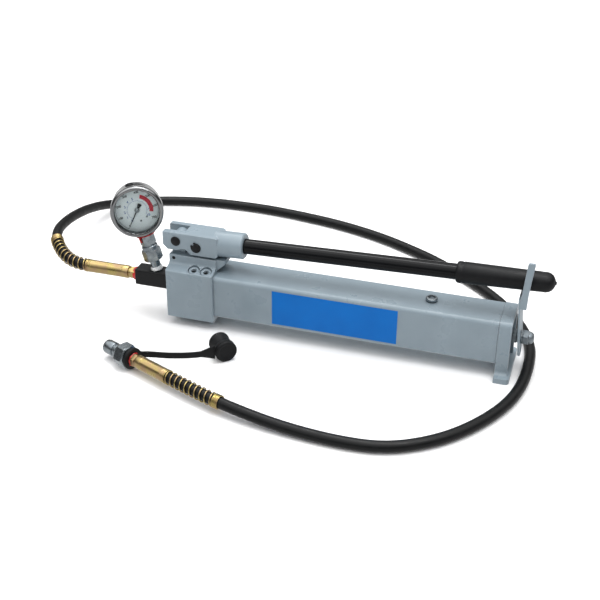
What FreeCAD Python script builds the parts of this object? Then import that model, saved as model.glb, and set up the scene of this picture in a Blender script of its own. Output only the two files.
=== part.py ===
"""Hydraulic hand pump with gauge, hose and coupler, as a parametric FreeCAD document.

Working frame, in millimetres: X runs from the head towards the tail, Y from the front to the
rear and Z up. X = 0 is the head's free end, Y = 0 its front face and Z = 0 the surface that the
pump stands on. STAND then moves everything so that the origin is under the middle of the pump.
"""
import FreeCAD, Part
import math
import os
import Sketcher
from FreeCAD import Placement, Rotation, Vector

DIMENSIONS = (
    # where the origin goes
    ("origin_x", 201), ("origin_y", 37.35),
    # head
    ("head_length", 64), ("head_width", 64), ("head_base", 12), ("ledge_front", 79),
    ("ledge_back", 84), ("neck_front", 16), ("neck_rear", 48), ("neck_top", 95.3),
    ("neck_overhang", 11.5), ("overhang_width", 28), ("overhang_root", 80), ("overhang_tip", 90),
    ("pad_length", 46), ("pad_width", 40),
    # reservoir and end cap
    ("tank_length", 365), ("tank_width", 57), ("tank_height", 58.5), ("tank_base", 18.7),
    ("tank_corner", 5.5), ("tank_wall", 3), ("gasket_thickness", 1), ("cap_thickness", 15),
    ("cap_lip", 0.8), ("pocket_depth", 10), ("cap_wall", 6), ("foot_height", 7),
    ("foot_reach", 11), ("foot_tail", 4), ("foot_blend", 6), ("rod_height", 47),
    ("rod_radius", 5), ("nut_flats", 17), ("label_length", 162), ("label_height", 47),
    ("label_thickness", 0.25), ("label_start", 143.5), ("filler_x", 341), ("filler_radius", 7.4),
    ("filler_stem", 5),
    # lever
    ("fulcrum_x", 10.3), ("fulcrum_z", 115.5), ("link_x", 38), ("link_z", 110),
    ("pin_radius", 5), ("fork_width", 34), ("fork_gap", 17), ("fork_top", 127),
    ("fork_start", -8), ("fork_end", 66.6), ("boss_radius", 16.8), ("boss_length", 30.5),
    ("lever_tilt", 1.78), ("lever_tube_radius", 9.8), ("lever_tube_wall", 2.5),
    ("grip_start", 302.4), ("grip_length", 118), ("grip_radius", 13.4), ("tongue_width", 16.4),
    ("tongue_radius", 8.6), ("running_gap", 0.05),
    # pump element
    ("piston_x", 37), ("piston_radius", 8), ("piston_length", 62), ("eye_width", 15.6),
    ("eye_radius", 9.6), ("slot_radius", 5.7), ("slot_reach", 3.4),
    # clip
    ("clip_gap", 2.6), ("clip_slope", 0.08), ("clip_thickness", 2.2), ("clip_front", 12),
    ("clip_rear", 45), ("clip_foot", 25), ("clip_top", 107), ("finger_top", 156),
    ("finger_thickness", 3.5),
    # gauge and its block
    ("block_length", 50), ("block_section", 22.5), ("block_height", 50),
    ("gauge_x", -22.6), ("gauge_lean", 15.5), ("gauge_turn", 26.4), ("gauge_reach", 99.2),
    ("case_radius", 31.5), ("case_depth", 30), ("bezel_radius", 34), ("dial_radius", 28.8),
    # hose and its fittings
    ("hose_radius", 7), ("hose_bore", 3.2), ("guard_inner", 7.3), ("guard_outer", 9.2),
    ("guard_length", 86), ("ferrule_radius", 8.6), ("port_ferrule_length", 60),
    ("end_ferrule_length", 50), ("coupler_flats", 27), ("nose_radius", 9),
    ("dust_cap_radius", 14), ("dust_cup_radius", 12.8), ("dust_cup_length", 26),
    ("strap_height", 9), ("strap_thickness", 3),
)

# The hose's line from the port's ferrule to the end fitting's ferrule, in the working frame.
HOSE_ROUTE = (
    (-126, 32, 50), (-141, 32, 50), (-163, 39.5, 52), (-185, 58, 57), (-201, 80.5, 60.5),
    (-212, 111, 59), (-219.5, 159, 52), (-224, 213, 40), (-224.5, 261, 26), (-220, 296, 14),
    (-197, 328, 7),
    (-155, 349, 7), (-86, 366, 7), (0, 369, 7), (61, 363, 7), (136, 350, 7),
    (206, 327, 7), (258, 301, 7), (306, 273, 7), (372, 221, 7), (412, 180, 7),
    (442, 134, 7), (464, 81, 7), (467.5, 24, 7), (462, -32, 7), (444, -80, 7),
    (414, -127, 7), (379, -161, 7), (337, -184, 7), (288, -189, 7), (224, -184.5, 8),
    (163, -174.5, 12), (108.2, -157.8, 14), (57.6, -136.3, 14),
)
END_X, END_Y = (HOSE_ROUTE[-1][i] - HOSE_ROUTE[-2][i] for i in (0, 1))
END_HEADING = math.degrees(math.atan2(END_Y, END_X))      # the way the coupler points, about Z

doc = FreeCAD.newDocument("hydraulic_hand_pump")
dims = doc.addObject("Spreadsheet::Sheet", "dims")
for row, (alias, value) in enumerate(DIMENSIONS, start=1):
    dims.set(f"A{row}", alias)
    dims.set(f"B{row}", str(value))
    dims.setAlias(f"B{row}", alias)
doc.recompute()

X_WAY = Rotation(Vector(0, 0, 1), Vector(1, 0, 0))
Y_WAY = Rotation(Vector(0, 0, 1), Vector(0, 1, 0))
Z_WAY = Rotation()
PIECES = []


def size(alias):
    """The number that the sheet holds under an alias."""
    return float(dims.get(alias))


MIDDLE = size("head_width") / 2
STAND = Placement(Vector(-size("origin_x"), -size("origin_y"), 0), Rotation())


# ---------------------------------------------------------------- building helpers

def bound(kind, name, at=(0, 0, 0), way=Z_WAY, **expressions):
    """A document object whose properties follow expressions, at a place in its own frame."""
    made = doc.addObject(kind, name)
    for prop, expression in expressions.items():
        made.setExpression(prop, str(expression))
    made.Placement = Placement(Vector(*at), way)
    return made


def box(name, at, length, width, height):
    return bound("Part::Box", name, at, Length=length, Width=width, Height=height)


def rod(name, radius, length, at, way=Z_WAY):
    return bound("Part::Cylinder", name, at, way, Radius=radius, Height=length)


def cone(name, start, end, length, at, way=Z_WAY):
    return bound("Part::Cone", name, at, way, Radius1=start, Radius2=end, Height=length)


def hexagon(name, flats, length, at, way=Z_WAY):
    prism = bound("Part::Prism", name, at, way, Circumradius=f"({flats}) / sqrt(3)", Height=length)
    prism.Polygon = 6
    return prism


def joined(name, *shapes):
    fuse = doc.addObject("Part::MultiFuse", name)
    fuse.Shapes = list(shapes)
    return fuse


def minus(name, base, *tools):
    tool = tools[0] if len(tools) == 1 else joined(f"{name}_tools", *tools)
    cut = doc.addObject("Part::Cut", name)
    cut.Base, cut.Tool = base, tool
    return cut


def ring(name, outer, inner, length, at, way=Z_WAY):
    """A sleeve, washer or ring with its first face at a point."""
    start = Vector(*at) - way.multVec(Vector(0, 0, 1))
    return minus(name, rod(f"{name}_outer", outer, length, at, way),
                 rod(f"{name}_hole", inner, f"({length}) + 2", start, way))


def rounded(name, base, radius, chosen):
    """Fillets on the edges of a built object for which chosen(edge) is true."""
    doc.recompute()
    fillet = doc.addObject("Part::Fillet", name)
    fillet.Base = base
    fillet.Edges = [(i, radius, radius) for i, edge in enumerate(base.Shape.Edges, start=1)
                    if chosen(edge)]
    return fillet


def along(axis):
    """Picks the straight edges that run along an axis."""
    def chosen(edge):
        if not isinstance(edge.Curve, Part.Line):
            return False
        return abs(edge.tangentAt(edge.FirstParameter).dot(Vector(*axis))) > 0.999
    return chosen


def sub_part(label, built, frame=STAND):
    """Names a finished piece and sets it in the pump's frame."""
    built.Label = label
    built.Placement = frame.multiply(built.Placement)
    PIECES.append(built)
    return built


def design(name):
    return doc.addObject("PartDesign::Body", name)


def sketch(body, name, role, corners, offset=0):
    """A closed outline on an origin plane. A corner's coordinate is a number, or an alias that
    the corner then follows."""
    plane = [f for f in body.Origin.OriginFeatures if f.Role == role][0]
    made = body.newObject("Sketcher::SketchObject", name)
    made.AttachmentSupport = [(plane, "")]
    made.MapMode = "FlatFace"
    made.AttachmentOffset = Placement(Vector(0, 0, offset), Rotation())
    points = [[size(c) if isinstance(c, str) else c for c in corner] for corner in corners]
    count = len(points)
    for i, (u, v) in enumerate(points):
        u2, v2 = points[(i + 1) % count]
        made.addGeometry(Part.LineSegment(Vector(u, v, 0), Vector(u2, v2, 0)), False)
    for i in range(count):
        made.addConstraint(Sketcher.Constraint("Coincident", i, 2, (i + 1) % count, 1))
    for i, corner in enumerate(corners):
        for kind, line, value, given in (("DistanceX", -2, points[i][0], corner[0]),
                                         ("DistanceY", -1, points[i][1], corner[1])):
            if abs(value) < 1e-9:
                made.addConstraint(Sketcher.Constraint("PointOnObject", i, 1, line))
                continue
            ends = (-1, 1, i, 1) if value > 0 else (i, 1, -1, 1)
            number = made.addConstraint(Sketcher.Constraint(kind, *ends, abs(value)))
            if isinstance(given, str):
                sign = "" if value > 0 else "-"
                made.setExpression(f"Constraints[{number}]", f"{sign}dims.{given}")
    return made


def pad(body, name, profile, length, midplane=False, reverse=False):
    made = body.newObject("PartDesign::Pad", name)
    made.Profile = profile
    made.Midplane = midplane
    made.Reversed = reverse
    made.setExpression("Length", str(length))
    return made


def pocket(body, name, profile, length, midplane=False, reverse=False):
    made = body.newObject("PartDesign::Pocket", name)
    made.Profile = profile
    made.Midplane = midplane
    made.Reversed = reverse
    made.setExpression("Length", str(length))
    return made


def blend(body, name, radius, chosen):
    """A PartDesign fillet on the chosen edges of the body so far."""
    doc.recompute()
    base = body.Tip
    names = [f"Edge{i}" for i, edge in enumerate(base.Shape.Edges, start=1) if chosen(edge)]
    made = body.newObject("PartDesign::Fillet", name)
    made.Base = (base, names)
    made.setExpression("Radius", str(radius))
    return made


# ---------------------------------------------------------------- head

PLUG_PLACES = (36.5, 53)
PLUG_RADIUS = 6.9
LEDGE_SLOPE = math.degrees(math.atan2(size("ledge_back") - size("ledge_front"),
                                      size("neck_front")))
PLUG_WAY = Rotation(Vector(1, 0, 0), LEDGE_SLOPE)
PLUG_Y = 8.2
PLUG_Z = size("ledge_front") + PLUG_Y * math.tan(math.radians(LEDGE_SLOPE))
CHAMBER_DEPTH = 26
RELEASE_X, RELEASE_Z = 50, 40
SCREW_X = 13.5


def plug_frame(x, depth=0):
    """A point on a valve plug's axis, a depth below the ledge."""
    return Vector(x, PLUG_Y, PLUG_Z) - PLUG_WAY.multVec(Vector(0, 0, depth))


def make_head():
    width = size("head_width")
    body = design("head_block")
    side = sketch(body, "head_side", "YZ_Plane", (
        (0, "head_base"), ("head_width", "head_base"), ("head_width", "ledge_front"),
        ("neck_rear", "ledge_back"), ("neck_rear", "neck_top"), ("neck_front", "neck_top"),
        ("neck_front", "ledge_back"), (0, "ledge_front")))
    pad(body, "head_extrusion", side, "dims.head_length")
    reach = size("head_length") + size("neck_overhang")
    inside = size("head_length") - 8
    overhang = sketch(body, "overhang_outline", "XZ_Plane", (
        (inside, "overhang_root"), ("head_length", "overhang_root"), (reach, "overhang_tip"),
        (reach, "neck_top"), (inside, "neck_top")), offset=-MIDDLE)
    pad(body, "overhang_pad", overhang, "dims.overhang_width", midplane=True)
    left = size("fulcrum_x") - size("tongue_radius")
    right = size("fulcrum_x") + size("tongue_radius")
    tongue = sketch(body, "tongue_outline", "XZ_Plane", (
        (left, size("neck_top") - 4), (right, size("neck_top") - 4),
        (right, "fulcrum_z"), (left, "fulcrum_z")), offset=-MIDDLE)
    pad(body, "tongue_pad", tongue, "dims.tongue_width", midplane=True)

    def neck_root(edge):
        middle = edge.CenterOfMass
        return along((1, 0, 0))(edge) and abs(middle.z - size("ledge_back")) < 0.01

    def overhang_corner(edge):
        middle = edge.CenterOfMass
        return along((0, 0, 1))(edge) and abs(middle.x - reach) < 0.01

    def long_corner(edge):
        middle = edge.CenterOfMass
        outer = middle.y < 0.01 or middle.y > width - 0.01
        return outer and (along((1, 0, 0))(edge) or along((0, 0, 1))(edge))

    blend(body, "neck_blend", 5, neck_root)
    blend(body, "overhang_blend", 5, overhang_corner)
    blend(body, "corner_blend", 1.6, long_corner)
    doc.recompute()
    crown = rod("tongue_crown", "dims.tongue_radius", "dims.tongue_width",
                (size("fulcrum_x"), MIDDLE - size("tongue_width") / 2, size("fulcrum_z")), Y_WAY)
    tools = [
        rod("fulcrum_bore", "dims.pin_radius + dims.running_gap", "40",
            (size("fulcrum_x"), MIDDLE - 20, size("fulcrum_z")), Y_WAY),
        rod("piston_bore", "dims.piston_radius + dims.running_gap", "dims.neck_top - 26",
            (size("piston_x"), MIDDLE, 27)),
        rod("seal_groove", "dims.piston_radius + 2.5", "4", (size("piston_x"), MIDDLE, 84)),
        rod("rod_socket", "dims.rod_radius", "16",
            (size("head_length") - 15, MIDDLE, size("rod_height")), X_WAY),
        rod("outlet_port", "6", "14", (-1, MIDDLE, size("block_height")), X_WAY),
        rod("suction_port", "4", "16", (size("head_length") - 15, MIDDLE - 18, 30), X_WAY),
        rod("release_bore", "5 + dims.running_gap", "21", (RELEASE_X, width - 20, RELEASE_Z), Y_WAY),
        rod("grub_hole", "2.5", "7", (6, 15, 90.5), Y_WAY),
    ]
    for i, x in enumerate(PLUG_PLACES):
        tools.append(rod(f"plug_recess_{i}", f"{PLUG_RADIUS} + 1", "9", plug_frame(x, 4.5), PLUG_WAY))
        tools.append(rod(f"valve_chamber_{i}", "4.6", str(CHAMBER_DEPTH),
                         plug_frame(x, CHAMBER_DEPTH), PLUG_WAY))
    sub_part("pump_head", minus("pump_head", joined("head_solid", body, crown), *tools))


def make_valves():
    """The two sprung check valves under their socket plugs."""
    plugs, springs, balls = [], [], []
    for i, x in enumerate(PLUG_PLACES):
        head = rod(f"plug_head_{i}", str(PLUG_RADIUS), "3.6", plug_frame(x, 4.4), PLUG_WAY)
        shank = rod(f"plug_shank_{i}", "4.55", "9", plug_frame(x, 13), PLUG_WAY)
        socket = hexagon(f"plug_socket_{i}", 6.5, "4", plug_frame(x, 4), PLUG_WAY)
        plugs.append(minus(f"plug_{i}", joined(f"plug_solid_{i}", head, shank), socket))
        springs.append(ring(f"spring_{i}", "3.4", "2.5", "7.5", plug_frame(x, 20.7), PLUG_WAY))
        ball = bound("Part::Sphere", f"ball_{i}", plug_frame(x, 23.35), Radius="2.6")
        balls.append(ball)
    sub_part("valve_plugs", joined("valve_plugs", *plugs))
    sub_part("valve_springs", joined("valve_springs", *springs))
    sub_part("valve_balls", joined("valve_balls", *balls))


def make_head_trim():
    x = size("head_length") / 2 - size("pad_length") / 2
    pad_solid = box("pad_block", (x, 20, 0), "dims.pad_length", "dims.pad_width",
                    "dims.head_base - 0.1")
    screws = []
    for i, end in enumerate((-1, 1)):
        centre = (size("head_length") / 2 + end * SCREW_X, 40, 0)
        screws.append((f"pad_screw_{i}", centre))
    holes = [rod(f"{name}_hole", "5", "30", (at[0], at[1], -1)) for name, at in screws]
    softened = rounded("pad_soft", pad_solid, 3, along((0, 0, 1)))
    sub_part("rest_pad", minus("rest_pad", softened, *holes))
    heads = [rod(name, "4.8", "6.5", (at[0], at[1], 5.3)) for name, at in screws]
    sub_part("pad_screws", joined("pad_screws", *heads))
    grub = rod("grub", "2.45", "5", (6, 16.4, 90.5), Y_WAY)
    sub_part("neck_grub_screw", minus("neck_grub_screw", grub,
                                      hexagon("grub_socket", 2.5, "3", (6, 15, 90.5), Y_WAY)))
    sub_part("piston_seal", ring("piston_seal", "dims.piston_radius + 2.4",
                                 "dims.piston_radius + 0.08", "3.8",
                                 (size("piston_x"), MIDDLE, 84.1)))


# ---------------------------------------------------------------- reservoir and end cap

TANK_START = size("head_length") + size("gasket_thickness")
TANK_END = size("head_length") + size("tank_length")
TANK_FRONT = MIDDLE - size("tank_width") / 2
TANK_TOP = size("tank_base") + size("tank_height")
CAP_END = TANK_END + size("cap_thickness")


def tank_section(name, x, length, inset):
    """A rounded bar with the reservoir's section, made smaller all round by an inset."""
    bar = box(f"{name}_bar", (x, TANK_FRONT + inset, size("tank_base") + inset), length,
              f"dims.tank_width - {2 * inset}", f"dims.tank_height - {2 * inset}")
    return rounded(name, bar, max(size("tank_corner") - inset, 2.5), along((1, 0, 0)))


def make_reservoir():
    wall = size("tank_wall")
    length = "dims.tank_length - 2 * dims.gasket_thickness"
    outer = tank_section("tank_outer", TANK_START, length, 0)
    inner = tank_section("tank_inner", TANK_START - 1, f"{length} + 2", wall)
    filler = rod("filler_hole", "dims.filler_stem + dims.running_gap", "12",
                 (size("filler_x"), MIDDLE, TANK_TOP - 8))
    sub_part("reservoir_tube", minus("reservoir_tube", outer, inner, filler))
    for label, x in (("head_gasket", size("head_length")),
                     ("cap_gasket", TANK_END - size("gasket_thickness"))):
        face = tank_section(f"{label}_face", x, "dims.gasket_thickness", 0.4)
        gap = tank_section(f"{label}_gap", x - 1, "dims.gasket_thickness + 2", wall + 0.4)
        sub_part(label, minus(label, face, gap))
    z = size("tank_base") + (size("tank_height") - size("label_height")) / 2
    sub_part("reservoir_label", box("reservoir_label",
                                    (size("label_start"), TANK_FRONT - size("label_thickness"), z),
                                    "dims.label_length", "dims.label_thickness",
                                    "dims.label_height"))
    sub_part("suction_tube", ring("suction_tube", "3.9", "2.6", "60",
                                  (size("head_length") - 12, MIDDLE - 18, 30), X_WAY))
    sub_part("suction_filter", ring("suction_filter", "7", "4.2", "22",
                                    (size("head_length") + 24, MIDDLE - 18, 30), X_WAY))


def make_end_cap():
    lip, reach, tail = size("cap_lip"), size("foot_reach"), size("foot_tail")
    front, rear = TANK_FRONT - lip, TANK_FRONT + size("tank_width") + lip
    top = TANK_TOP + lip
    body = design("cap_block")
    face = sketch(body, "cap_face", "YZ_Plane", (
        (front - reach, 0), (rear + reach, 0), (rear + reach, "foot_height"),
        (rear, "foot_height"), (rear, top), (front, top), (front, "foot_height"),
        (front - reach, "foot_height")), offset=TANK_END)
    pad(body, "cap_pad", face, "dims.cap_thickness")
    foot = sketch(body, "foot_outline", "XY_Plane", (
        (CAP_END - 1, front - reach), (CAP_END + tail, front - reach),
        (CAP_END + tail, rear + reach), (CAP_END - 1, rear + reach)))
    pad(body, "foot_pad", foot, "dims.foot_height")
    wall = size("cap_wall")
    recess = sketch(body, "recess_outline", "YZ_Plane", (
        (front + wall, "foot_height"), (rear - wall, "foot_height"),
        (rear - wall, top - wall), (front + wall, top - wall)), offset=CAP_END)
    pocket(body, "recess_pocket", recess, "dims.pocket_depth")

    def foot_root(edge):
        middle = edge.CenterOfMass
        return (along((1, 0, 0))(edge) and abs(middle.z - size("foot_height")) < 0.01
                and (abs(middle.y - front) < 0.01 or abs(middle.y - rear) < 0.01))

    def upper_corner(edge):
        return along((1, 0, 0))(edge) and abs(edge.CenterOfMass.z - top) < 0.01

    def recess_corner(edge):
        middle = edge.CenterOfMass
        inside = front + wall - 0.01 < middle.y < rear - wall + 0.01
        return along((1, 0, 0))(edge) and inside and middle.z > top - wall - 0.01

    def foot_corner(edge):
        return along((0, 0, 1))(edge) and edge.CenterOfMass.x > CAP_END + 1

    def foot_edge(edge):
        straight = along((1, 0, 0))(edge) or along((0, 1, 0))(edge) or along((0, 0, 1))(edge)
        middle = edge.CenterOfMass
        outer = middle.y < front - 1 or middle.y > rear + 1 or middle.x > CAP_END + 1
        return straight and outer and middle.z > 1 and middle.x > TANK_END + 0.1

    blend(body, "foot_blend_faces", "dims.foot_blend", foot_root)
    blend(body, "cap_corners", size("tank_corner") + lip, upper_corner)
    blend(body, "recess_corners", 8, recess_corner)
    blend(body, "foot_corners", 5, foot_corner)
    blend(body, "foot_softening", 0.8, foot_edge)
    doc.recompute()
    hole = rod("rod_hole", "dims.rod_radius + 0.3", "40",
               (TANK_END - 5, MIDDLE, size("rod_height")), X_WAY)
    sub_part("end_cap", minus("end_cap", body, hole))


def plate_x(z):
    """Where the clip plate's inner face is at a height; the plate leans in towards its top."""
    return CAP_END + size("clip_gap") + (size("clip_top") - z) * size("clip_slope")


def make_tie_rod():
    start = size("head_length") - 14.5
    recess = CAP_END - size("pocket_depth")
    lean = 8 * size("clip_slope")
    plate_start = plate_x(size("rod_height")) - lean
    plate_end = plate_x(size("rod_height")) + size("clip_thickness") + lean
    at_rod = (MIDDLE, size("rod_height"))
    sub_part("tie_rod", rod("tie_rod", "dims.rod_radius", str(plate_end + 10 - start),
                            (start, *at_rod), X_WAY))
    jam = hexagon("jam_hex", "dims.nut_flats", str(plate_start - recess - 2.2),
                  (recess + 0.1, *at_rod), X_WAY)
    collar = rod("jam_collar", "7.8", "2.1", (plate_start - 2.15, *at_rod), X_WAY)
    thread = rod("jam_thread", "dims.rod_radius", "30", (recess - 5, *at_rod), X_WAY)
    sub_part("jam_nut", minus("jam_nut", joined("jam_solid", jam, collar), thread))
    sub_part("tie_rod_washer", ring("tie_rod_washer", "8.6", "dims.rod_radius + 0.2", "1.3",
                                    (plate_end + 0.1, *at_rod), X_WAY))
    nut = hexagon("nut_hex", "dims.nut_flats", "7", (plate_end + 1.5, *at_rod), X_WAY)
    dome = cone("nut_dome", "7.8", "5.6", "4.6", (plate_end + 8.5, *at_rod), X_WAY)
    tip = cone("nut_tip", "5.6", "2", "1.9", (plate_end + 13.1, *at_rod), X_WAY)
    hole = rod("nut_thread", "dims.rod_radius", "8.6", (plate_end + 1.5, *at_rod), X_WAY)
    sub_part("tie_rod_nut", minus("tie_rod_nut", joined("nut_solid", nut, dome, tip), hole))


def make_filler():
    x = size("filler_x")
    sub_part("filler_seal", ring("filler_seal", "dims.filler_radius - 0.6",
                                 "dims.filler_stem + 0.2", "1.4", (x, MIDDLE, TANK_TOP + 0.05)))
    head = rod("filler_head", "dims.filler_radius", "3.6", (x, MIDDLE, TANK_TOP + 1.5))
    stem = rod("filler_thread", "dims.filler_stem", "12", (x, MIDDLE, TANK_TOP - 10))
    slot = hexagon("filler_socket", 8, "3", (x, MIDDLE, TANK_TOP + 3))
    sub_part("filler_plug", minus("filler_plug", joined("filler_solid", head, stem), slot))


# ---------------------------------------------------------------- handle clip

def make_clip():
    """A plate held by the tie rod's nuts, with a finger in front of the lever's grip."""
    low, top = size("clip_foot"), size("clip_top")
    front, rear, thick = size("clip_front"), size("clip_rear"), size("clip_thickness")
    body = design("clip_plate")
    side = sketch(body, "clip_side", "XZ_Plane", (
        (plate_x(low), "clip_foot"), (plate_x(low) + thick, "clip_foot"),
        (plate_x(top) + thick, "clip_top"), (plate_x(top), "clip_top")), offset=-front)
    pad(body, "clip_pad", side, "dims.clip_rear - dims.clip_front", reverse=True)
    finger = sketch(body, "finger_outline", "XZ_Plane", (
        (448.3, 95), (457, 95), (457.6, 113), (458.9, 130), (461.7, "finger_top"),
        (453, "finger_top"), (451, 130)), offset=-front)
    pad(body, "finger", finger, "dims.finger_thickness", reverse=True)

    def finger_tip(edge):
        return along((0, 1, 0))(edge) and edge.CenterOfMass.z > size("finger_top") - 1

    def lower_corner(edge):
        return along((1, 0, 0))(edge) and edge.CenterOfMass.z < low + 1

    def upper_corner(edge):
        middle = edge.CenterOfMass
        return along((1, 0, 0))(edge) and abs(middle.z - top) < 0.01 and middle.y > rear - 1

    blend(body, "finger_tips", 2, finger_tip)
    blend(body, "plate_foot", 14, lower_corner)
    blend(body, "plate_shoulder", 6, upper_corner)
    doc.recompute()
    hole = rod("clip_hole", "dims.rod_radius + 0.6", "16",
               (plate_x(size("rod_height")) - 6, MIDDLE, size("rod_height")), X_WAY)
    sub_part("handle_clip", minus("handle_clip", body, hole))


# ---------------------------------------------------------------- lever

LEVER = Placement(Vector(size("fork_end"), MIDDLE, 112.9),
                  Rotation(Vector(0, 1, 0), 90 - size("lever_tilt")))


def make_fork():
    """The forked lever head: two ears over the tongue and the piston's eye, and a socket."""
    body = design("fork_block")
    link = size("link_x")
    side = sketch(body, "fork_side", "XZ_Plane", (
        ("fork_start", 108.5), (-1.7, 102.3), (12.5, 102.3), (15.5, 104.4), (23.5, 104.4),
        (30, 98.3), (63.6, 98.3), ("fork_end", 101), ("fork_end", 125.5), (63.6, "fork_top"),
        (-7, "fork_top"), ("fork_start", 126)), offset=-MIDDLE)
    pad(body, "fork_pad", side, "dims.fork_width", midplane=True)

    def side_edge(edge):
        middle = edge.CenterOfMass
        return abs(abs(middle.y - MIDDLE) - size("fork_width") / 2) < 0.01

    blend(body, "fork_edges", 1.4, side_edge)
    doc.recompute()
    boss = rod("fork_boss", "dims.boss_radius", "dims.boss_length + 6", (0, 0, -6))
    boss.Placement = LEVER.multiply(boss.Placement)
    rim = cone("fork_boss_rim", "dims.boss_radius", "dims.boss_radius - 1.5", "1.5",
               (0, 0, size("boss_length")))
    rim.Placement = LEVER.multiply(rim.Placement)
    socket = rod("tube_socket", "dims.lever_tube_radius + 0.02", "60", (0, 0, 3))
    socket.Placement = LEVER.multiply(socket.Placement)
    gap = size("fork_gap")
    tools = [
        box("tongue_slot", (-20, MIDDLE - gap / 2, 90), "41", "dims.fork_gap", "50"),
        box("eye_pocket", (-20, MIDDLE - gap / 2, 90), str(link + 37), "dims.fork_gap", "31.5"),
        socket,
    ]
    for name, x, z in (("fulcrum", size("fulcrum_x"), size("fulcrum_z")),
                       ("link", link, size("link_z"))):
        tools.append(rod(f"{name}_ear_hole", "dims.pin_radius", "60", (x, 0, z), Y_WAY))
    sub_part("handle_fork", minus("handle_fork", joined("fork_solid", body, boss, rim), *tools))


def make_lever_tube():
    start = 3.2
    end = size("grip_start") + size("grip_length") - 12
    tube = ring("handle_tube", "dims.lever_tube_radius",
                "dims.lever_tube_radius - dims.lever_tube_wall", str(end - start), (0, 0, start))
    sub_part("handle_tube", tube, STAND.multiply(LEVER))
    at = size("grip_start")
    slim = size("grip_radius") - 1.2
    long = size("grip_length") - 12
    collar = cone("grip_collar", "dims.grip_radius - 1.6", "dims.grip_radius", "3", (0, 0, at))
    sleeve = cone("grip_sleeve", "dims.grip_radius", str(slim), str(long - 3), (0, 0, at + 3))
    dome = bound("Part::Ellipsoid", "grip_dome", (0, 0, at + long), Radius1="12",
                 Radius2=str(slim), Radius3=str(slim))
    bore = rod("grip_bore", "dims.lever_tube_radius + 0.02", str(long + 1), (0, 0, at - 1))
    grip = minus("handle_grip", joined("grip_solid", collar, sleeve, dome), bore)
    sub_part("handle_grip", grip, STAND.multiply(LEVER))


def make_pins():
    ears = size("fork_width") / 2
    rings = []
    for label, x, z in (("fulcrum_pin", size("fulcrum_x"), size("fulcrum_z")),
                        ("piston_pin", size("link_x"), size("link_z"))):
        sub_part(label, rod(label, "dims.pin_radius", "dims.fork_width + 4",
                            (x, MIDDLE - ears - 2, z), Y_WAY))
        for side, y in (("front", MIDDLE - ears - 1.25), ("rear", MIDDLE + ears + 0.05)):
            rings.append(ring(f"{label}_{side}_ring", "dims.pin_radius + 1.8",
                              "dims.pin_radius", "1.2", (x, y, z), Y_WAY))
    sub_part("retaining_rings", joined("retaining_rings", *rings))


def make_piston():
    """The plunger, with an eye whose slot lets the link pin swing on its arc."""
    x, z = size("piston_x"), size("link_z")
    reach = size("slot_reach")
    half = size("eye_width") / 2
    shaft = rod("piston_shaft", "dims.piston_radius", "dims.piston_length",
                (x, MIDDLE, z - 4 - size("piston_length")))
    eye, slot = [], []
    for name, radius, width, parts in (("eye", "dims.eye_radius", "dims.eye_width", eye),
                                       ("slot", "dims.slot_radius", "dims.eye_width + 8", slot)):
        y = MIDDLE - half - (0 if name == "eye" else 4)
        for side in (-1, 1):
            parts.append(rod(f"{name}_end_{side + 1}", radius, width, (x + side * reach, y, z), Y_WAY))
        parts.append(box(f"{name}_middle", (x - reach, y, z - size(f"{name}_radius")),
                         "2 * dims.slot_reach", width, f"2 * {radius}"))
    sub_part("piston", minus("piston", joined("piston_solid", shaft, *eye), *slot))


# ---------------------------------------------------------------- release valve

def make_release():
    rear = size("head_width")
    gland = ring("release_gland", "9", "5.3", "5", (RELEASE_X, rear + 0.05, RELEASE_Z), Y_WAY)
    sub_part("release_gland", gland)
    spindle = rod("spindle_shaft", "5", "32", (RELEASE_X, rear - 14, RELEASE_Z), Y_WAY)
    point = cone("spindle_point", "1", "5", "4.5", (RELEASE_X, rear - 18.5, RELEASE_Z), Y_WAY)
    sub_part("release_spindle", joined("release_spindle", spindle, point))
    wheel = rod("knob_wheel", "14", "13", (RELEASE_X, rear + 6, RELEASE_Z), Y_WAY)
    tools = [rod("knob_bore", "5", "12.1", (RELEASE_X, rear + 5.9, RELEASE_Z), Y_WAY)]
    for i in range(10):
        turn = math.radians(36 * i)
        tools.append(rod(f"knob_flute_{i}", "2.2", "20",
                         (RELEASE_X + 15 * math.cos(turn), rear + 3,
                          RELEASE_Z + 15 * math.sin(turn)), Y_WAY))
    sub_part("release_knob", minus("release_knob", wheel, *tools))


# ---------------------------------------------------------------- gauge

BLOCK = Placement(Vector(size("gauge_x"), MIDDLE, size("block_height")), Rotation())
GAUGE = Placement(BLOCK.Base, Rotation(Vector(0, 1, 0), -size("gauge_lean"))
                  * Rotation(Vector(0, 0, 1), size("gauge_turn")))
DIAL = GAUGE.multiply(Placement(Vector(0, 0, size("gauge_reach")), Rotation(Vector(1, 0, 0), 90)))


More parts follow.
